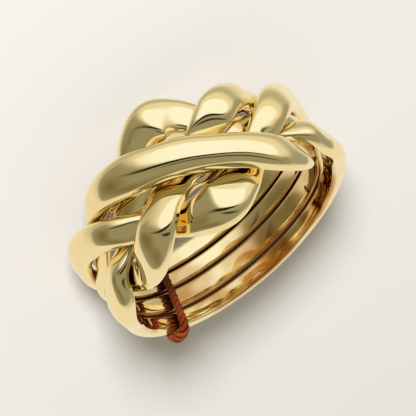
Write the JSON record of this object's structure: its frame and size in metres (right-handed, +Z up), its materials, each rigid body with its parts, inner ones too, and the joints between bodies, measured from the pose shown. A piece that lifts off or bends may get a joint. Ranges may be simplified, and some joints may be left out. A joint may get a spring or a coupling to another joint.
{
  "type": "puzzle ring",
  "caption": "Finger ring of closed metal bands that lie side by side at the back and weave into a knot at the front, tied together with a thread.",
  "frame": {"origin": "middle of the bounding box on the floor that the ring lies on", "axes": "+Z up, about 11 degrees from the finger hole's axis, -Y towards the woven knot, +X to the right as seen from the knot"},
  "size_m": [0.0208, 0.0216, 0.0111],
  "materials": {
    "gold": "mirror-polished pale yellow gold",
    "thread": "twisted orange-red cotton thread"
  },
  "bodies": {
    "root": {"far_band": "gold", "near_band": "gold", "top_band": "gold", "cross_band": "gold", "binding_thread": "thread"}
  },
  "joints": []
}
